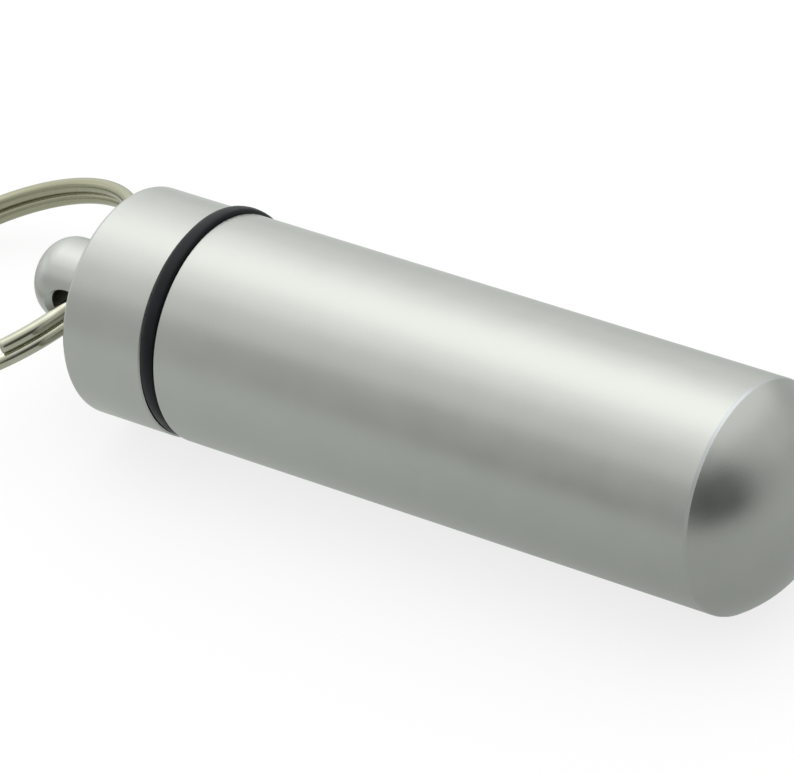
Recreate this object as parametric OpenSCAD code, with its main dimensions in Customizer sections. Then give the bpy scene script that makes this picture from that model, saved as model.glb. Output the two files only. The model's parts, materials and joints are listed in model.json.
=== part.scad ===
// Key-ring capsule: a round metal tube with one domed end and a screw cap, a rubber seal between them,
// and a two-turn split ring through the knob of the cap. It lies on its side: the axis runs along X,
// the domed end points to +X, and the ring hangs from the knob down to the surface at z = 0.
// All sizes are in millimetres.

/* [Tube] */
// Outer diameter of the tube and of the cap
body_d = 16; // [14:0.5:22]
// Length of the tube from its mouth to the edge of the dome
tube_len = 42.7; // [25:0.1:80]
// Height of the domed end beyond that edge
dome_h = 4.5; // [3:0.1:6.5]
// Thickness of the domed end, measured on the axis
end_wall = 2.9; // [1.5:0.1:4]
// Bevel on the edge between the tube and its dome
dome_bevel = 0.12; // [0.05:0.01:0.3]
// Bevel on the two edges that face the seal
seam_bevel = 0.1; // [0.05:0.01:0.2]

/* [Thread] */
// Wall of the tube outside the root of its thread
thread_wall = 1; // [0.7:0.05:1.5]
// Depth of the thread
thread_depth = 0.5; // [0.35:0.05:0.6]
// Pitch of the right-hand thread
thread_pitch = 1; // [0.9:0.05:1.3]
// Play between the two threads, measured along a radius
thread_play = 0.12; // [0.1:0.01:0.16]
// Length of the threaded stub inside the tube
stub_len = 6.5; // [5:0.1:9]
// Plain neck of the stub inside the mouth
neck_len = 0.6; // [0.3:0.1:1.2]
// Length of the groove where the tube's thread runs out
relief_len = 1.2; // [0.8:0.1:2]

/* [Cap] */
// Length of the cap along the axis
cap_len = 6.65; // [4:0.05:12]
// Rounding of the cap's outer edge
cap_round = 0.35; // [0.2:0.05:1.2]
// Wall of the hollow stub under its thread
stub_wall = 1.4; // [0.8:0.1:2.4]
// Depth of the hollow in the stub, up to its drilled cone
hollow_len = 7; // [4:0.1:9]

/* [Knob] */
// Diameter of the knob
knob_d = 6; // [5:0.1:7.5]
// Height of the knob above the cap
knob_h = 7.5; // [7:0.05:10]
// Rounding of the knob's tip
knob_round = 2.14; // [1:0.02:2.4]
// Fillet where the knob meets the cap
knob_fillet = 0.4; // [0.1:0.05:1]
// Height of the cross hole's centre above the cap
hole_height = 3.7; // [3.4:0.1:4.5]
// Bevel round both mouths of the cross hole
hole_bevel = 0.2; // [0.1:0.05:0.35]
// Play of the split ring in the cross hole
ring_play = 0.26; // [0.12:0.01:0.4]

/* [Seal] */
// Width of the seam between cap and tube that the seal fills
seam_gap = 1.15; // [0.9:0.05:1.4]
// Thickness of the seal's round section before it is squeezed
seal_d = 1.6; // [1.45:0.05:1.65]
// How far the seal stands proud of the tube on the side that it has slipped to
seal_proud = 0.36; // [0.1:0.02:0.5]
// How far the seal lies below the tube's surface on the opposite side
seal_sunk = 0.12; // [0.04:0.02:0.16]
// Direction in which the seal has slipped: 0 is the -Y side, 90 is the top, 180 is the +Y side
seal_lean = 115; // [60:5:120]
// Gap between the seal and each of its neighbours
seal_play = 0.02; // [0.01:0.01:0.05]

/* [Split ring] */
// Outer diameter of the split ring
ring_d = 24; // [20:0.5:32]
// Diameter of its wire
wire_d = 1; // [0.8:0.05:1.3]
// Gap between its two turns
turn_gap = 0.42; // [0.41:0.01:0.5]
// Angle from the knob to the wire's free end on the upper turn
ring_end_at = 42; // [35:1:120]
// Angle over which the wire crosses from one turn to the other
cross_span = 36; // [30:1:50]
// Rounding of the wire's two cut ends
wire_end_round = 0.3; // [0.1:0.05:0.35]
// Height of the ring's lowest point above the surface
ring_rest = 0.03; // [0.01:0.01:0.1]

/* [Hidden] */
$fn = 96;
// Amount by which cutting shapes run past the faces that they cut
past = 0.5;

// Steps in radius beyond the thread: neck under the stub's thread, groove outside the tube's thread, bevel
// on the stub's tip, and bevel in the tube's mouth
neck_drop = 0.15;
relief_drop = 0.1;
tip_bevel = 0.1;
mouth_bevel = 0.15;
// Length by which the tube's thread runs deeper than the stub
thread_spare = 0.4;
// Point angle of the drill that made both blind holes
drill_point = 118;

// Radii of the body, the thread and what lies under it
body_r = body_d / 2;
thread_r = body_r - thread_wall;
bore_r = thread_r - thread_depth;
stub_root_r = bore_r - thread_play;
hollow_r = stub_root_r - stub_wall;
relief_r = thread_r + relief_drop;
mouth_r = thread_r + mouth_bevel;
tip_r = stub_root_r - tip_bevel;

// Places along the axis, counted from the tube's mouth towards the dome
dome_tip = tube_len + dome_h;
dome_r = (body_r * body_r + dome_h * dome_h) / (2 * dome_h);
drill_cone = 1 / tan(drill_point / 2);
bore_end = dome_tip - end_wall - bore_r * drill_cone;
tube_thread_end = stub_len + thread_spare;
cap_face = -seam_gap;
cap_top = cap_face - cap_len;
hole_at = cap_top - hole_height;
knob_tip = cap_top - knob_h;
knob_r = knob_d / 2;

// Seal: how far it has slipped, the radius of its middle, and the neck, which clears the tube's thread and
// the seal
seal_shift = (seal_proud + seal_sunk) / 2;
seal_mid_r = body_r + (seal_proud - seal_sunk) / 2 - seal_d / 2;
neck_r = min(stub_root_r - neck_drop, body_r - seal_sunk - seal_d - seal_play);

// Split ring: radius of the wire's centre line, spacing of the turns, and how much the wire bends inside
// the hole
ring_r = (ring_d - wire_d) / 2;
turn_pitch = wire_d + turn_gap;
ring_sag = ring_r - sqrt(ring_r * ring_r - knob_r * knob_r);
hole_r = norm([turn_pitch, ring_sag]) / 2 + wire_d / 2 + ring_play;
ring_reach = 2 * ring_r - ring_sag / 2;
end_clear = 2;
ring_turn = 720 - cross_span - 2 * end_clear;
ring_steps = 96;
wire_sides = 12;

// Angle below the level at which the ring's far side comes to rest on the surface
ring_drop = body_r - wire_d / 2 - ring_rest;
droop = asin(ring_drop / norm([ring_reach, turn_pitch / 2])) - atan2(turn_pitch / 2, ring_reach);

// The origin lies under the middle of the whole length
ring_far = hole_at - ring_reach * cos(droop) - turn_pitch / 2 * sin(droop) - wire_d / 2;
mouth_x = -(dome_tip + ring_far) / 2;

// Thread form over one pitch: place along the pitch and height, both as shares
thread_form = [[0, 0], [0.2, 0], [0.5, 1], [0.7, 1]];
thread_steps = 40;

// Colours
metal = [0.74, 0.75, 0.74];
rubber = [0.09, 0.09, 0.1];
nickel = [0.72, 0.7, 0.64];

// Stands a shape drawn round the Z axis from the tube's mouth in its place along X
module lay_down() {
    translate([mouth_x, 0, body_r]) rotate([0, 90, 0]) children();
}

// Threaded rod round the Z axis from z_from to z_to. Its thread rises from radius low_r, and shape(r, z)
// gives the radius that is left of r at height z.
module threaded_rod(low_r, z_from, z_to, shape) {
    form_n = len(thread_form);
    first = floor(z_from / thread_pitch) - 2;
    turns = ceil(z_to / thread_pitch) + 1 - first;
    rows = turns * form_n + 1;
    grid = [for (j = [0:thread_steps - 1], i = [0:rows - 1])
        let (form = thread_form[i % form_n],
             z = thread_pitch * (first + floor(i / form_n) + form[0] + j / thread_steps),
             r = shape(low_r + thread_depth * form[1], z),
             a = 360 * j / thread_steps)
        [r * cos(a), r * sin(a), z]];
    low = len(grid);
    points = concat(grid, [[0, 0, thread_pitch * (first - 1)],
                           [0, 0, thread_pitch * (first + turns + 2)]]);
    last = thread_steps - 1;
    sides = [for (j = [0:last - 1], i = [0:rows - 2])
        let (p = j * rows + i) each [[p, p + 1, p + rows], [p + 1, p + rows + 1, p + rows]]];
    joins = [for (i = [0:rows - form_n - 2])
        let (p = last * rows + i, q = i + form_n) each [[p, p + 1, q], [p + 1, q + 1, q]]];
    low_edge = concat([for (j = [0:last]) j * rows], [for (i = [form_n:-1:1]) i]);
    top_edge = concat([for (j = [0:last]) j * rows + rows - 1],
                      [for (i = [2:form_n + 1]) last * rows + rows - i]);
    low_fan = [for (k = [0:len(low_edge) - 1]) [low, low_edge[k], low_edge[(k + 1) % len(low_edge)]]];
    top_fan = [for (k = [0:len(top_edge) - 1]) [low + 1, top_edge[(k + 1) % len(top_edge)], top_edge[k]]];
    intersection() {
        polyhedron(points, concat(sides, joins, low_fan, top_fan));
        translate([0, 0, z_from]) cylinder(r = body_r, h = z_to - z_from);
    }
}

// Outline of the tube: straight side, bevelled edges, dome, and the bore behind the thread
module tube_outline() {
    bevel_top_r = sqrt(dome_r * dome_r - pow(dome_r - dome_h + dome_bevel, 2));
    difference() {
        union() {
            square([body_r, tube_len]);
            intersection() {
                translate([0, dome_tip - dome_r]) circle(r = dome_r);
                translate([0, tube_len]) square([body_r, dome_h + past]);
            }
        }
        polygon([[body_r, tube_len - dome_bevel], [bevel_top_r, tube_len + dome_bevel],
                 [body_r + past, tube_len + dome_bevel], [body_r + past, tube_len - dome_bevel]]);
        polygon([[body_r - seam_bevel, 0], [body_r, seam_bevel], [body_r + past, seam_bevel],
                 [body_r + past, -past], [body_r - seam_bevel, -past]]);
        polygon([[0, tube_thread_end], [relief_r, tube_thread_end], [relief_r, tube_thread_end + relief_len],
                 [bore_r, tube_thread_end + relief_len], [bore_r, bore_end],
                 [0, bore_end + bore_r * drill_cone]]);
    }
}

// Tube with its bore, drilled end, internal thread and the groove where the thread runs out
module capsule_tube() {
    color(metal) lay_down() difference() {
        rotate_extrude() tube_outline();
        threaded_rod(bore_r, -past, tube_thread_end + relief_len / 2,
                     function(r, z) max(r, mouth_r - max(z, 0)));
    }
}

// Rubber seal, squeezed flat between the mouth of the tube and the cap, a little off their axis
module sealing_ring() {
    flat = seam_gap - 2 * seal_play;
    color(rubber) lay_down()
        translate([-seal_shift * sin(seal_lean), -seal_shift * cos(seal_lean), -seam_gap / 2])
        rotate_extrude() translate([seal_mid_r, 0]) intersection() {
            circle(d = seal_d);
            square([2 * seal_d, flat], center = true);
        }
}

// Outline of the cap and its knob, with the rounded edge, the fillet and the rounded tip
module cap_outline() {
    translate([0, cap_top]) square([body_r - cap_round, cap_len]);
    translate([0, cap_top + cap_round]) square([body_r, cap_len - cap_round - seam_bevel]);
    translate([body_r - cap_round, cap_top + cap_round]) circle(r = cap_round);
    polygon([[0, cap_face - seam_bevel - past], [body_r, cap_face - seam_bevel - past],
             [body_r, cap_face - seam_bevel], [body_r - seam_bevel, cap_face], [0, cap_face]]);
    translate([0, knob_tip + knob_round]) square([knob_r, knob_h - knob_round + past]);
    translate([0, knob_tip]) square([knob_r - knob_round, knob_h]);
    intersection() {
        translate([knob_r - knob_round, knob_tip + knob_round]) circle(r = knob_round);
        translate([0, knob_tip]) square([knob_r, 2 * knob_round]);
    }
    difference() {
        translate([0, cap_top - knob_fillet]) square([knob_r + knob_fillet, knob_fillet + past]);
        translate([knob_r + knob_fillet, cap_top - knob_fillet]) circle(r = knob_fillet);
    }
}

// Cross hole through the knob, bevelled at both mouths. Each bevel's cone starts inside the knob, because
// the knob's side falls away round the hole, and ends outside it.
module cross_hole() {
    cone_from = knob_r - 2 * hole_bevel;
    cone_len = knob_r + hole_bevel - cone_from;
    translate([0, 0, hole_at]) rotate([90, 0, 0]) {
        cylinder(r = hole_r, h = knob_d + 2 * past, center = true);
        for (side = [0, 180]) rotate([side, 0, 0])
            translate([0, 0, cone_from]) cylinder(r1 = hole_r, r2 = hole_r + cone_len, h = cone_len);
    }
}

// Cap, turned in one piece with its knob and its hollow threaded stub
module screw_cap() {
    color(metal) lay_down() difference() {
        union() {
            rotate_extrude() cap_outline();
            translate([0, 0, cap_face - past]) cylinder(r = neck_r, h = seam_gap + neck_len + 2 * past);
            threaded_rod(stub_root_r, neck_len, stub_len, function(r, z) min(r, tip_r + stub_len - z));
        }
        translate([0, 0, stub_len - hollow_len]) cylinder(r = hollow_r, h = hollow_len + past);
        translate([0, 0, stub_len - hollow_len - hollow_r * drill_cone])
            cylinder(r1 = 0, r2 = hollow_r, h = hollow_r * drill_cone);
        cross_hole();
    }
}

// Height of the wire's centre line above the ring's middle plane, a degrees along the wire. It lies in
// the lower turn, crosses over just before its first end comes round, and stays in the upper turn.
function wire_height(a) =
    let (t = min(max((a - (360 - cross_span - end_clear)) / cross_span, 0), 1))
    turn_pitch * (t * t * (3 - 2 * t) - 0.5);

// Centre line of the wire: the knob is at angle 0, and the angle grows on the -Y side
function wire_point(a) =
    let (b = ring_end_at + cross_span + 2 * end_clear + a)
    [ring_r * cos(b), -ring_r * sin(b), wire_height(a)];

// Ring of points round the centre line, square to the wire's direction over a small angle to either side
direction_span = 0.5;
function wire_ring(a, r) =
    let (ahead = wire_point(a + direction_span) - wire_point(a - direction_span),
         out = [wire_point(a)[0], wire_point(a)[1], 0] / ring_r,
         side = cross(ahead, out) / norm(cross(ahead, out)),
         up = cross(side, ahead) / norm(cross(side, ahead)))
    [for (k = [0:wire_sides - 1])
        let (c = 360 * k / wire_sides) wire_point(a) + r * (cos(c) * up + sin(c) * side)];

// Shares of the end's rounding: place along the wire, and how much the radius loses there
wire_end_form = [[0, 1], [0.3, 0.3]];
end_angle = wire_end_round / ring_r * 180 / PI;
wire_stations = concat(
    [for (e = wire_end_form) [e[0] * end_angle, wire_d / 2 - e[1] * wire_end_round]],
    [for (i = [0:ring_steps]) [end_angle + (ring_turn - 2 * end_angle) * i / ring_steps, wire_d / 2]],
    [for (k = [len(wire_end_form) - 1:-1:0]) let (e = wire_end_form[k])
        [ring_turn - e[0] * end_angle, wire_d / 2 - e[1] * wire_end_round]]);

// Least gap between the two turns, measured on points along the wire. Points less than gap_apart steps
// from each other belong to the same stretch of wire.
gap_steps = 340;
gap_apart = 30;
gap_points = [for (i = [0:gap_steps]) wire_point(ring_turn * i / gap_steps)];
least_gap = min([for (i = [0:gap_steps], k = [i + gap_apart:gap_steps]) norm(gap_points[i] - gap_points[k])])
    - wire_d;
echo(str("least gap between the turns of the split ring: ", least_gap, " mm"));

// Split ring: one unbroken wire of nearly two turns, hanging in the cross hole
module split_ring() {
    rings = len(wire_stations);
    points = [for (s = wire_stations) each wire_ring(s[0], s[1])];
    sides = [for (i = [0:rings - 2], k = [0:wire_sides - 1])
        let (p = i * wire_sides + k, q = i * wire_sides + (k + 1) % wire_sides)
        each [[p, q + wire_sides, q], [p, p + wire_sides, q + wire_sides]]];
    first_end = [for (k = [0:wire_sides - 1]) k];
    last_end = [for (k = [wire_sides - 1:-1:0]) (rings - 1) * wire_sides + k];
    color(nickel) translate([mouth_x + hole_at, 0, body_r]) rotate([0, -droop, 0])
        translate([ring_sag / 2 - ring_r, 0, 0]) polyhedron(points, concat(sides, [first_end, last_end]));
}

capsule_tube();
sealing_ring();
screw_cap();
split_ring();
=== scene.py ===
"""Keychain capsule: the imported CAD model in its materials, a detailed seal and split ring, and a studio."""
import json
import math

import bpy
from mathutils import Matrix, Vector


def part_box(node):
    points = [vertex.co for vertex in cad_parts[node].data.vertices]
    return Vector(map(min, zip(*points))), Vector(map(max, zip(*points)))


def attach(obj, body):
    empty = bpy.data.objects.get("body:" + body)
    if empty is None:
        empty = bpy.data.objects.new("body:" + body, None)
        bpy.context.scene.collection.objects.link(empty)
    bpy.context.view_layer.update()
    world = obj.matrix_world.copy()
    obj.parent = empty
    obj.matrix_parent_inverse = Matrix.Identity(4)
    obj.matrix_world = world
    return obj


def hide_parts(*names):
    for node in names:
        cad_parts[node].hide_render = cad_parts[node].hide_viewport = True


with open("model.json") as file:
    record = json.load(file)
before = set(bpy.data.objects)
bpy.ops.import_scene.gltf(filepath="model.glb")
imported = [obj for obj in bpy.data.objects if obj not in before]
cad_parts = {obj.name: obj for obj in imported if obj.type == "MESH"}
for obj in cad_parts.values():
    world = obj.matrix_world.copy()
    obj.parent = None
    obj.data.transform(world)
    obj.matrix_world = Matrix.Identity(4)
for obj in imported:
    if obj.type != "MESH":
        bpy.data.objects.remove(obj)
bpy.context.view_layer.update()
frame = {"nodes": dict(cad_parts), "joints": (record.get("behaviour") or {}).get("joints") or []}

MM = 0.001


# ---------------------------------------------------------------- sizes
# read off the frame
tube_low, tube_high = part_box("capsule_tube")
seal_low, seal_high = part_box("sealing_ring")
MOUTH_X = tube_low[0]
BODY_R = (tube_high[2] - tube_low[2]) / 2
AXIS_Z = (tube_high[2] + tube_low[2]) / 2
SEAL_OUT_R = (seal_high[2] - seal_low[2]) / 2
SEAL_Y = (seal_high[1] + seal_low[1]) / 2
SEAL_Z = (seal_high[2] + seal_low[2]) / 2

# the same as in the part's source
SEAM_GAP = 1.15 * MM
SEAL_PLAY = 0.02 * MM
SEAL_D = 1.6 * MM
CAP_LEN = 6.65 * MM
TUBE_LEN = 42.7 * MM
THREAD_WALL = 1.0 * MM
KNOB_R = 3.0 * MM
WIRE_D = 1.0 * MM
RING_D = 24.0 * MM

# places that follow from them
CAP_FACE_X = MOUTH_X - SEAM_GAP
CAP_END_X = CAP_FACE_X - CAP_LEN
SEAM_X = (MOUTH_X + CAP_FACE_X) / 2
DOME_EDGE_X = MOUTH_X + TUBE_LEN
THREAD_R = BODY_R - THREAD_WALL
RING_R = (RING_D - WIRE_D) / 2


# ---------------------------------------------------------------- camera, as the photograph was taken
PHOTO_WIDTH = 794.0
FOCAL_PIXELS = 6551.0
SENSOR_WIDTH = 36.0
CAMERA_RIGHT = Vector((0.80709, 0.56757, -0.16275))
CAMERA_UP = Vector((-0.25899, 0.58800, 0.76631))
CAMERA_FORWARD = Vector((-0.53059, 0.57634, -0.62157))
CAMERA_FROM_MOUTH = Vector((245.22, -250.82, 270.15)) * MM


def make_camera():
    data = bpy.data.cameras.new("photo_camera")
    data.sensor_fit = "HORIZONTAL"
    data.sensor_width = SENSOR_WIDTH
    data.lens = FOCAL_PIXELS * SENSOR_WIDTH / PHOTO_WIDTH
    data.clip_start, data.clip_end = 0.05, 20.0
    camera = bpy.data.objects.new("photo_camera", data)
    turn = Matrix((CAMERA_RIGHT, CAMERA_UP, -CAMERA_FORWARD)).transposed().to_4x4()
    camera.matrix_world = Matrix.Translation(Vector((MOUTH_X, 0, AXIS_Z)) + CAMERA_FROM_MOUTH) @ turn
    bpy.context.scene.collection.objects.link(camera)
    bpy.context.scene.camera = camera


# ---------------------------------------------------------------- node helpers
class Nodes:
    """Small builder for a material's nodes: each method adds a node and returns its output."""

    def __init__(self, name):
        self.material = bpy.data.materials.new(name)
        self.material.use_nodes = True
        self.tree = self.material.node_tree
        self.tree.nodes.clear()
        self.output = self.tree.nodes.new("ShaderNodeOutputMaterial")

    def put(self, socket, value):
        if isinstance(value, bpy.types.NodeSocket):
            self.tree.links.new(value, socket)
        else:
            socket.default_value = value

    def node(self, kind, out=0, **settings):
        made = self.tree.nodes.new(kind)
        inputs = settings.pop("inputs", {})
        for key, value in settings.items():
            setattr(made, key, value)
        for key, value in inputs.items():
            self.put(made.inputs[key], value)
        return made.outputs[out]

    def math(self, operation, a, b=0.0):
        return self.node("ShaderNodeMath", operation=operation, inputs={0: a, 1: b})

    def plus(self, a, b):
        return self.math("ADD", a, b)

    def minus(self, a, b):
        return self.math("SUBTRACT", a, b)

    def times(self, a, b):
        return self.math("MULTIPLY", a, b)

    def larger(self, a, b):
        return self.math("MAXIMUM", a, b)

    def away(self, value, middle):
        """Distance of a coordinate from a place on its axis."""
        return self.math("ABSOLUTE", self.minus(value, middle))

    def place(self):
        """The point's place on its object."""
        return self.node("ShaderNodeTexCoord", out=3)

    def attribute(self, name, out):
        """A mesh attribute: output 1 is its vector and output 2 its value."""
        return self.node("ShaderNodeAttribute", out=out, attribute_name=name)

    def vector(self, x, y, z):
        return self.node("ShaderNodeCombineXYZ", inputs={0: x, 1: y, 2: z})

    def split(self, vector):
        made = self.tree.nodes.new("ShaderNodeSeparateXYZ")
        self.put(made.inputs[0], vector)
        return made.outputs[0], made.outputs[1], made.outputs[2]

    def length(self, vector):
        return self.node("ShaderNodeVectorMath", out=1, operation="LENGTH", inputs={0: vector})

    def noise(self, vector, grain, detail, rough):
        return self.node("ShaderNodeTexNoise", inputs={
            "Vector": vector, "Scale": 1 / grain, "Detail": detail, "Roughness": rough})

    def ramp(self, value, low, high, to_low=0.0, to_high=1.0, smooth=True):
        return self.node("ShaderNodeMapRange", interpolation_type="SMOOTHSTEP" if smooth else "LINEAR",
                         inputs={"Value": value, "From Min": low, "From Max": high,
                                 "To Min": to_low, "To Max": to_high})

    def fade(self, value, low, high):
        return self.ramp(value, low, high, 1.0, 0.0)

    def mix_color(self, share, a, b):
        return self.node("ShaderNodeMix", out=2, data_type="RGBA", inputs={0: share, 6: a, 7: b})

    def bump(self, height, distance):
        return self.node("ShaderNodeBump", inputs={"Height": height, "Distance": distance, "Strength": 1.0})

    def end_with(self, shader):
        """Links the material's shader and returns the finished material."""
        self.tree.links.new(shader, self.output.inputs[0])
        return self.material

    def surface(self, **inputs):
        named = {key.replace("_", " "): value for key, value in inputs.items()}
        return self.end_with(self.node("ShaderNodeBsdfPrincipled", inputs=named))

    def mixed_surface(self, share, a, b):
        return self.end_with(self.node("ShaderNodeMixShader", inputs={0: share, 1: a, 2: b}))


# ---------------------------------------------------------------- blasted aluminium
ALUMINIUM = (0.389, 0.399, 0.378, 1)
ALUMINIUM_DARK = (0.373, 0.383, 0.362, 1)
MACHINED = (0.54, 0.55, 0.54, 1)
FACED = (0.55, 0.56, 0.535, 1)
# painted highlight: a faint bluish light line on the dome's edge and the seam's bevels
EDGE_PAINTED_HIGHLIGHT = (0.383, 0.405, 0.415, 1)
BLAST_GRAIN = 0.11 * MM
CLOUD_GRAIN = 3.5 * MM
TURNING_PITCH = 0.16 * MM
METAL_BUMP = 0.006 * MM
CLOUD_SPAN = 0.3, 0.7
BLASTED_ROUGH = 0.31, 0.35
# by how much the edges under the painted highlight, the machined inside and the faced end are smoother
EDGE_SMOOTHER = 0.02
INSIDE_SMOOTHER = 0.07
FACED_SMOOTHER = 0.03
# what is left of the turning marks on blasted faces, and of the blasted grain on turned ones
MARKS_LEFT = 0.12
GRAIN_LEFT = 0.1

# the machined inside: its radius, and where it starts and ends along the axis
INSIDE_R = THREAD_R + 0.2 * MM
INSIDE_FROM = CAP_FACE_X + 0.02 * MM
INSIDE_TO = DOME_EDGE_X - 1.5 * MM
# the painted highlight along the dome's edge, which fades out towards the bottom: its faint and full distance
# from the edge, and likewise its heights
DOME_HIGHLIGHT_REACH = 0.14 * MM, 0.05 * MM
DOME_HIGHLIGHT_HEIGHTS = AXIS_Z + 2.0 * MM, AXIS_Z + 7.0 * MM
# the painted highlight on the bevels at the seam: their outer and inner radii, and their distance from the
# seam's middle
SEAM_RIM_OUT = BODY_R - 0.14 * MM, BODY_R - 0.02 * MM
SEAM_RIM_IN = BODY_R - 0.6 * MM, BODY_R - 0.4 * MM
SEAM_HIGHLIGHT_REACH = SEAM_GAP / 2 + 0.1 * MM, SEAM_GAP / 2 + 0.3 * MM
# the faced end round the knob: how deep it reaches, and how far out
FACED_DEPTH = 0.02 * MM, 0.06 * MM
FACED_OUT = BODY_R - 0.9 * MM, BODY_R - 0.7 * MM


def blasted_aluminium():
    """Bead-blasted outside with a painted highlight on its edges, a faced end round the knob, and machined
    threads and bores.
    """
    n = Nodes("bead_blasted_aluminium")
    place = n.place()
    x, y, z = n.split(place)
    radius = n.length(n.vector(0.0, y, n.minus(z, AXIS_Z)))
    grain = n.noise(place, BLAST_GRAIN, 2.0, 0.6)
    cloud = n.noise(place, CLOUD_GRAIN, 3.0, 0.55)
    marks = n.noise(n.vector(x, radius, 0.0), TURNING_PITCH, 1.0, 0.5)

    inside = n.times(n.math("LESS_THAN", radius, INSIDE_R),
                     n.times(n.math("GREATER_THAN", x, INSIDE_FROM), n.math("LESS_THAN", x, INSIDE_TO)))
    # painted highlight: a bluish light line along the dome's edge that fades out towards the bottom, and one
    # on the seam's bevels
    dome_highlight = n.times(n.ramp(z, *DOME_HIGHLIGHT_HEIGHTS), n.ramp(n.away(x, DOME_EDGE_X), *DOME_HIGHLIGHT_REACH))
    seam_rim = n.times(n.fade(radius, *SEAM_RIM_OUT), n.ramp(radius, *SEAM_RIM_IN))
    edge = n.larger(dome_highlight, n.times(seam_rim, n.fade(n.away(x, SEAM_X), *SEAM_HIGHLIGHT_REACH)))
    faced = n.times(n.fade(n.away(x, CAP_END_X), *FACED_DEPTH), n.fade(radius, *FACED_OUT))
    turned = n.larger(inside, faced)

    blasted = n.mix_color(n.ramp(cloud, *CLOUD_SPAN), ALUMINIUM_DARK, ALUMINIUM)
    # the painted highlight is mixed into the colour here
    highlighted = n.mix_color(edge, blasted, EDGE_PAINTED_HIGHLIGHT)
    base = n.mix_color(faced, n.mix_color(inside, highlighted, MACHINED), FACED)

    edged_rough = n.minus(n.ramp(cloud, *CLOUD_SPAN, *BLASTED_ROUGH), n.times(edge, EDGE_SMOOTHER))
    rough = n.minus(edged_rough, n.plus(n.times(inside, INSIDE_SMOOTHER), n.times(faced, FACED_SMOOTHER)))

    marks_height = n.times(marks, n.ramp(turned, 0.0, 1.0, MARKS_LEFT, 1.0, smooth=False))
    grain_height = n.times(grain, n.ramp(turned, 0.0, 1.0, 1.0, GRAIN_LEFT, smooth=False))
    bumped = n.bump(n.plus(marks_height, grain_height), METAL_BUMP)
    return n.surface(Base_Color=base, Metallic=1.0, Roughness=rough, Normal=bumped)


# ---------------------------------------------------------------- black rubber
RUBBER = (0.006, 0.007, 0.0095, 1)
RUBBER_DARK = (0.0035, 0.004, 0.0055, 1)
RUBBER_GRAIN = 0.06 * MM
RUBBER_PATCHES = 1.6 * MM
RUBBER_BUMP = 0.006 * MM
RUBBER_ROUGH = 0.36, 0.5
RUBBER_SPECULAR = 0.16


def black_rubber():
    n = Nodes("black_rubber")
    place = n.place()
    fine = n.noise(place, RUBBER_GRAIN, 3.0, 0.6)
    broad = n.noise(place, RUBBER_PATCHES, 3.0, 0.6)
    base = n.mix_color(n.ramp(broad, 0.35, 0.75), RUBBER_DARK, RUBBER)
    rough = n.ramp(broad, 0.3, 0.7, *RUBBER_ROUGH)
    return n.surface(Base_Color=base, Roughness=rough, Specular_IOR_Level=RUBBER_SPECULAR,
                     Normal=n.bump(fine, RUBBER_BUMP))


# ---------------------------------------------------------------- nickel plating
PLATING = (0.41, 0.41, 0.335, 1)
PLATING_DARK = (0.36, 0.36, 0.285, 1)
# painted shade for the ring's far side, away from the camera
PLATING_FAR_SHADE = (0.30, 0.296, 0.212, 1)
# lighter where the turns touch: rubbed wear, and painted light that lifts the shade in the groove
PLATING_RUBBED_AND_LIT = (0.66, 0.65, 0.56, 1)
BARE_STEEL = (0.40, 0.39, 0.37, 1)
PLATING_ROUGH = 0.09, 0.15
# by how much the cut ends and the dull far side are rougher
CUT_ROUGHER = 0.2
DULL_ROUGHER = 0.17
# where, across the object, the painted shade on the far side starts and is at its darkest; that side is also
# rougher over the same span
FAR_SIDE_SPAN = -3.0 * MM, 8.0 * MM
# share of the way round to the other turn at which the lighter line starts and is full: rubbed wear, and
# painted light that lifts the shade in the groove
RUB_AND_LIGHT_SPAN = 0.8, 1.0
PLATING_PATCHES = 1.1 * MM
DRAWN_LINES = 0.14 * MM
DRAWN_STRETCH = 0.02
PLATING_BUMP = 0.0012 * MM


def nickel_plating():
    """Warm plating on drawn wire, with faint lines along it and painted shade on its far side, which is also
    rougher.

    Where the two turns touch it is lighter, which is rubbed wear and painted light that lifts the shade in
    the groove, and its cut ends are bare steel.
    """
    n = Nodes("nickel_plating")
    along, side, up = n.split(n.attribute("wire_place", 1))
    cut = n.attribute("wire_cut", 2)
    touching = n.attribute("wire_touch", 2)
    place = n.place()
    lines = n.noise(n.vector(n.times(along, DRAWN_STRETCH), side, up), DRAWN_LINES, 1.0, 0.5)
    patches = n.noise(place, PLATING_PATCHES, 3.0, 0.6)
    far_side = n.ramp(n.split(place)[1], *FAR_SIDE_SPAN)

    plated = n.mix_color(n.ramp(patches, 0.35, 0.7), PLATING_DARK, PLATING)
    # painted shade: the ring's far side, away from the camera, is darker
    far_shaded = n.mix_color(far_side, plated, PLATING_FAR_SHADE)
    # painted light with rubbed wear: lighter where the turns touch, lifting the shade in the groove between
    # them
    rubbed_and_lit = n.mix_color(n.ramp(touching, *RUB_AND_LIGHT_SPAN), far_shaded, PLATING_RUBBED_AND_LIT)
    base = n.mix_color(cut, rubbed_and_lit, BARE_STEEL)
    rough = n.plus(n.ramp(patches, 0.3, 0.7, *PLATING_ROUGH),
                   n.plus(n.times(cut, CUT_ROUGHER), n.times(far_side, DULL_ROUGHER)))
    return n.surface(Base_Color=base, Metallic=1.0, Roughness=rough, Normal=n.bump(lines, PLATING_BUMP))


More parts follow.
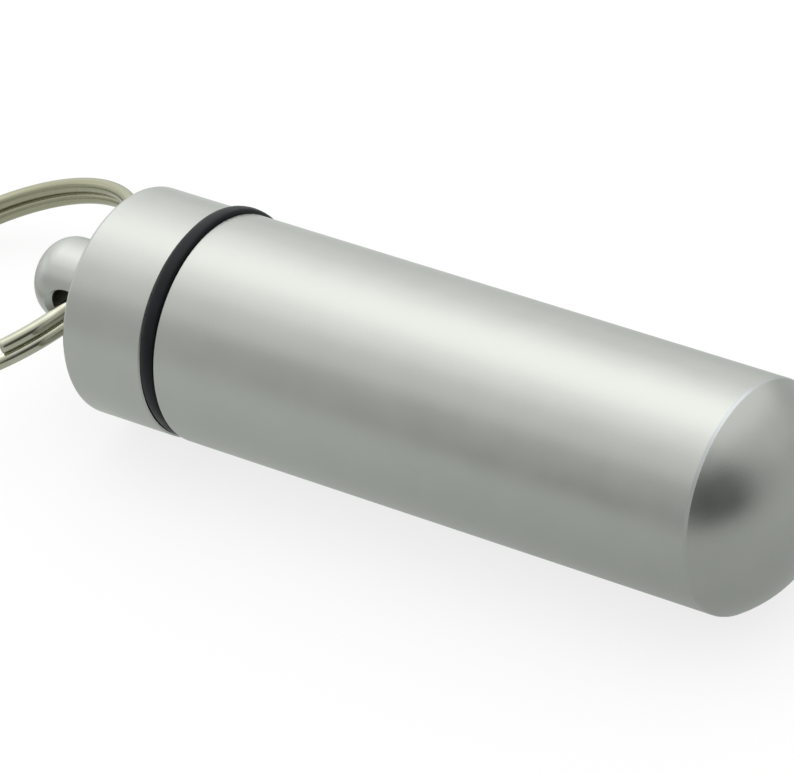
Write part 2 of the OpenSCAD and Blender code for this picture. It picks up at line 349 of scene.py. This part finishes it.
# ---------------------------------------------------------------- mesh helper
def grid_object(name, rows, closed):
    """A mesh from rows of points, each a closed ring. The rows close on themselves or end in flat caps."""
    count = len(rows[0])
    faces = []
    for i in range(len(rows) if closed else len(rows) - 1):
        a, b = i * count, ((i + 1) % len(rows)) * count
        for k in range(count):
            m = (k + 1) % count
            faces.append((a + k, a + m, b + m, b + k))
    if not closed:
        faces.append(tuple(range(count - 1, -1, -1)))
        faces.append(tuple((len(rows) - 1) * count + k for k in range(count)))
    mesh = bpy.data.meshes.new(name)
    mesh.from_pydata([p for row in rows for p in row], [], faces)
    mesh.validate()
    for polygon in mesh.polygons:
        polygon.use_smooth = len(polygon.vertices) == 4
    made = bpy.data.objects.new(name, mesh)
    bpy.context.scene.collection.objects.link(made)
    return made


# ---------------------------------------------------------------- rubber seal
SEAL_STEPS = 240
SEAL_SIDES = 40
SEAL_SQUARENESS = 1.8
FLASH_HEIGHT = 0.012 * MM
FLASH_ANGLE = math.radians(7)


def make_seal(material):
    """A rubber ring squeezed to flat sides between cap and tube, with the mould's faint line round it."""
    half_gap = SEAM_GAP / 2 - SEAL_PLAY
    full_squeeze = math.tanh(SEAL_SQUARENESS * SEAL_D / 2 / half_gap)
    middle_r = SEAL_OUT_R - SEAL_D / 2
    centre = Vector((SEAM_X, SEAL_Y, SEAL_Z))
    rows = []
    for i in range(SEAL_STEPS):
        a = 2 * math.pi * i / SEAL_STEPS
        outward = Vector((0, math.cos(a), math.sin(a)))
        row = []
        for k in range(SEAL_SIDES):
            c = 2 * math.pi * k / SEAL_SIDES
            out = math.cos(c) * SEAL_D / 2
            wide = math.sin(c) * SEAL_D / 2
            squeezed = half_gap * math.tanh(SEAL_SQUARENESS * wide / half_gap) / full_squeeze
            line = FLASH_HEIGHT * max(0.0, 1 - abs(math.atan2(math.sin(c), math.cos(c))) / FLASH_ANGLE)
            row.append(centre + outward * (middle_r + out - FLASH_HEIGHT + line) + Vector((squeezed, 0, 0)))
        rows.append(row)
    seal = grid_object("rubber_seal", rows, True)
    seal.data.materials.append(material)
    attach(seal, "seal")
    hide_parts("sealing_ring")


# ---------------------------------------------------------------- split ring
WIRE_STEPS = 560
WIRE_SIDES = 72
WIRE_SQUARENESS = 2.2
TURN_PITCH = 1.0 * MM
RING_END_AT = math.radians(41.5)
CROSS_SPAN = math.radians(34)
END_CLEAR = math.radians(2)
END_BEVEL = 0.09 * MM
# bevel of a cut end: place along the wire and loss of radius there, as shares of END_BEVEL
END_FORM = (0.0, 1.0), (0.4, 0.35)
# half the angle over which the wire's direction is measured
DIRECTION_STEP = 0.004

# how the loose ring lies in the hole: it droops to the floor, tilts a little and has slid along itself
RING_DROOP = math.radians(17.62)
RING_TILT = math.radians(0.41)
RING_TURN = math.radians(-1.2)
RING_OUT = 0.411 * MM
RING_DOWN = 0.247 * MM


def ring_matrix():
    """Places the ring's own frame, with the ring's middle at its origin, as the ring rests in the hole."""
    swing = next(j for j in frame["joints"] if j["name"] == "ring_swing")
    sag = RING_R - math.sqrt(RING_R ** 2 - KNOB_R ** 2)
    place = Matrix.Translation(swing["pos_m"]) @ Matrix.Rotation(-RING_DROOP, 4, "Y")
    place = place @ Matrix.Rotation(RING_TILT, 4, "X") @ Matrix.Rotation(RING_TURN, 4, "Z")
    return place @ Matrix.Translation((sag / 2 - RING_R + RING_OUT, 0, -RING_DOWN))


def make_ring(material):
    """Nearly two turns of slightly squared wire that touch, with a crossover between the two cut ends."""
    place = ring_matrix()
    turn = 4 * math.pi - CROSS_SPAN - 2 * END_CLEAR
    start = RING_END_AT + CROSS_SPAN + 2 * END_CLEAR
    cross_from = 2 * math.pi - CROSS_SPAN - END_CLEAR

    def middle(a):
        t = min(max((a - cross_from) / CROSS_SPAN, 0.0), 1.0)
        height = TURN_PITCH * (t * t * t * (t * (6 * t - 15) + 10) - 0.5)
        return Vector((RING_R * math.cos(start + a), -RING_R * math.sin(start + a), height))

    bevel_angle = END_BEVEL / RING_R
    end = [(share * bevel_angle, WIRE_D / 2 - loss * END_BEVEL) for share, loss in END_FORM]
    stations = end + [(bevel_angle + (turn - 2 * bevel_angle) * i / WIRE_STEPS, WIRE_D / 2)
                      for i in range(WIRE_STEPS + 1)]
    stations += [(turn - a, r) for a, r in reversed(end)]

    rows, places, cuts, touch_shares = [], [], [], []
    for a, r in stations:
        here = middle(a)
        ahead = (middle(a + DIRECTION_STEP) - middle(a - DIRECTION_STEP)).normalized()
        out = Vector((here.x, here.y, 0)).normalized()
        side = ahead.cross(out).normalized()
        up = side.cross(ahead).normalized()
        # times w, this is 1 on the side that touches the other turn
        to_other = -4 * here.z / (TURN_PITCH * WIRE_D)
        row = []
        for k in range(WIRE_SIDES):
            c = 2 * math.pi * k / WIRE_SIDES
            squared = abs(math.cos(c)) ** WIRE_SQUARENESS + abs(math.sin(c)) ** WIRE_SQUARENESS
            reach = r * squared ** (-1 / WIRE_SQUARENESS)
            h, w = reach * math.cos(c), reach * math.sin(c)
            row.append(place @ (here + h * up + w * side))
            places.append((RING_R * a, h, w))
            cuts.append(1.0 if a in (0.0, turn) else 0.0)
            touch_shares.append(max(0.0, to_other * w))
        rows.append(row)
    ring = grid_object("split_ring_wire", rows, False)
    kept = ring.data.attributes.new("wire_place", "FLOAT_VECTOR", "POINT")
    kept.data.foreach_set("vector", [v for p in places for v in p])
    for name, values in (("wire_cut", cuts), ("wire_touch", touch_shares)):
        kept = ring.data.attributes.new(name, "FLOAT", "POINT")
        kept.data.foreach_set("value", values)
    ring.data.materials.append(material)
    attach(ring, "ring")
    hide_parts("split_ring")


# ---------------------------------------------------------------- floor
PAPER = (0.78, 0.78, 0.777, 1)
WHITE = (1, 1, 1, 1)
FLOOR_REACH = 3.0
# share of plain white in the floor as the camera sees it, which keeps the shadow soft, and as metal
# mirrors it
SHARE_SEEN = 0.78
SHARE_MIRRORED = 0.8
# how bright the mirrored floor is on the ring's side and on the dome's side, and where it falls off
GLOW_MIRRORED = 0.925, 0.635
FALL_FROM, FALL_TO = -0.04, 0.06
# how much brighter it gets again beyond the dome, and where
GLOW_BEYOND = 0.1
BEYOND_FROM, BEYOND_TO = 0.04, 0.07
MIRRORED_TONE = (0.962, 1.0, 0.965, 1)


def make_floor():
    n = Nodes("pale_floor")
    path = n.tree.nodes.new("ShaderNodeLightPath")
    seen = path.outputs["Is Camera Ray"]
    mirrored = n.larger(path.outputs["Is Glossy Ray"], path.outputs["Is Transmission Ray"])
    share = n.plus(n.times(seen, SHARE_SEEN), n.times(mirrored, SHARE_MIRRORED))
    x, _, _ = n.split(n.place())
    fall = n.plus(n.ramp(x, FALL_FROM, FALL_TO, *GLOW_MIRRORED),
                  n.ramp(x, BEYOND_FROM, BEYOND_TO, 0.0, GLOW_BEYOND))
    paper = n.node("ShaderNodeBsdfDiffuse", inputs={"Color": PAPER})
    white = n.node("ShaderNodeEmission", inputs={
        "Color": n.mix_color(mirrored, WHITE, MIRRORED_TONE),
        "Strength": n.plus(seen, n.times(mirrored, fall))})
    corners = [(-1, -1), (1, -1), (1, 1), (-1, 1)]
    mesh = bpy.data.meshes.new("floor")
    mesh.from_pydata([(FLOOR_REACH * u, FLOOR_REACH * v, 0) for u, v in corners], [], [(0, 1, 2, 3)])
    mesh.materials.append(n.mixed_surface(share, paper, white))
    floor = bpy.data.objects.new("floor", mesh)
    bpy.context.scene.collection.objects.link(floor)


# ---------------------------------------------------------------- lights and cards
WORLD_LIGHT = 0.775
WORLD_TONE = (0.98, 1.0, 0.98, 1)
SOFTBOX_WAY = (-0.35, 0.33, 0.88)

# name, the direction it stands in, distance, half-width, radiance: one overhead softbox, brightest in its
# middle, two low lamps beyond the ring and a weak one behind the tube
LAMPS = [
    ("softbox_wide", SOFTBOX_WAY, 0.62, 1.23, 0.47),
    ("softbox_middle", SOFTBOX_WAY, 0.61, 0.47, 0.55),
    ("softbox_core", SOFTBOX_WAY, 0.60, 0.22, 0.65),
    ("low_side_lamp", (-0.97, -0.12, 0.16), 0.80, 0.26, 0.36),
    ("low_back_lamp", (-0.77, 0.58, 0.22), 0.80, 0.28, 0.2),
    ("back_lamp", (0.43, 0.51, 0.74), 0.62, 0.52, 0.19),
]

# name, the direction it stands in, distance, half-width, half-height, how dark its middle is:
# soft-edged cards that stand for the dark room behind the camera, and that only reflections show
CARDS = [
    ("dark_card_front", (0.82, -0.52, 0.23), 0.33, 0.255, 0.243, 0.84),
    ("dark_card_side", (0.99, -0.06, 0.20), 0.48, 0.30, 0.28, 0.18),
    ("dark_card_near", (-0.14, -0.985, 0.07), 0.0865, 0.034, 0.028, 0.32),
]
CARD_CORNERS = 48
CARD_BLACK = (0.01, 0.01, 0.01, 1)
# from the card's middle to its rim, the place up to which it is at its darkest
CARD_DARK_TO = 0.42


def make_world():
    world = bpy.data.worlds.new("studio")
    bpy.context.scene.world = world
    world.use_nodes = True
    world.node_tree.nodes["Background"].inputs["Color"].default_value = WORLD_TONE
    world.node_tree.nodes["Background"].inputs["Strength"].default_value = WORLD_LIGHT


def set_facing(thing, way, distance):
    """Puts a lamp or card out along a direction from the middle of the object, facing it."""
    way = Vector(way).normalized()
    thing.location = Vector((0, 0, AXIS_Z)) + way * distance
    thing.rotation_mode = "QUATERNION"
    thing.rotation_quaternion = way.to_track_quat("Z", "Y")
    bpy.context.scene.collection.objects.link(thing)


def make_lamps():
    for name, way, distance, half_width, radiance in LAMPS:
        data = bpy.data.lights.new(name, "AREA")
        data.shape = "DISK"
        data.size = 2 * half_width
        data.energy = radiance * math.pi ** 2 * half_width ** 2
        set_facing(bpy.data.objects.new(name, data), way, distance)


def card_material(name, darkness):
    """Black in the middle and clear at the rim, over the card's own unit circle."""
    n = Nodes(name)
    black = n.node("ShaderNodeBsdfDiffuse", inputs={"Color": CARD_BLACK})
    clear = n.node("ShaderNodeBsdfTransparent")
    return n.mixed_surface(n.ramp(n.length(n.place()), 1.0, CARD_DARK_TO, 0.0, darkness), clear, black)


def make_cards():
    angles = [2 * math.pi * k / CARD_CORNERS for k in range(CARD_CORNERS)]
    rim = [(math.cos(a), math.sin(a), 0) for a in angles]
    for name, way, distance, half_width, half_height, darkness in CARDS:
        mesh = bpy.data.meshes.new(name)
        mesh.from_pydata(rim, [], [tuple(range(CARD_CORNERS))])
        mesh.materials.append(card_material(name, darkness))
        card = bpy.data.objects.new(name, mesh)
        set_facing(card, way, distance)
        card.scale = (half_width, half_height, 1)
        card.visible_camera = card.visible_shadow = card.visible_diffuse = False


# ---------------------------------------------------------------- the scene
make_camera()
make_floor()
make_world()
make_lamps()
make_cards()

metal = blasted_aluminium()
for name in ("capsule_tube", "screw_cap"):
    node = frame["nodes"][name]
    node.data.materials.clear()
    node.data.materials.append(metal)

make_seal(black_rubber())
make_ring(nickel_plating())

bpy.context.scene.view_settings.view_transform = "Standard"
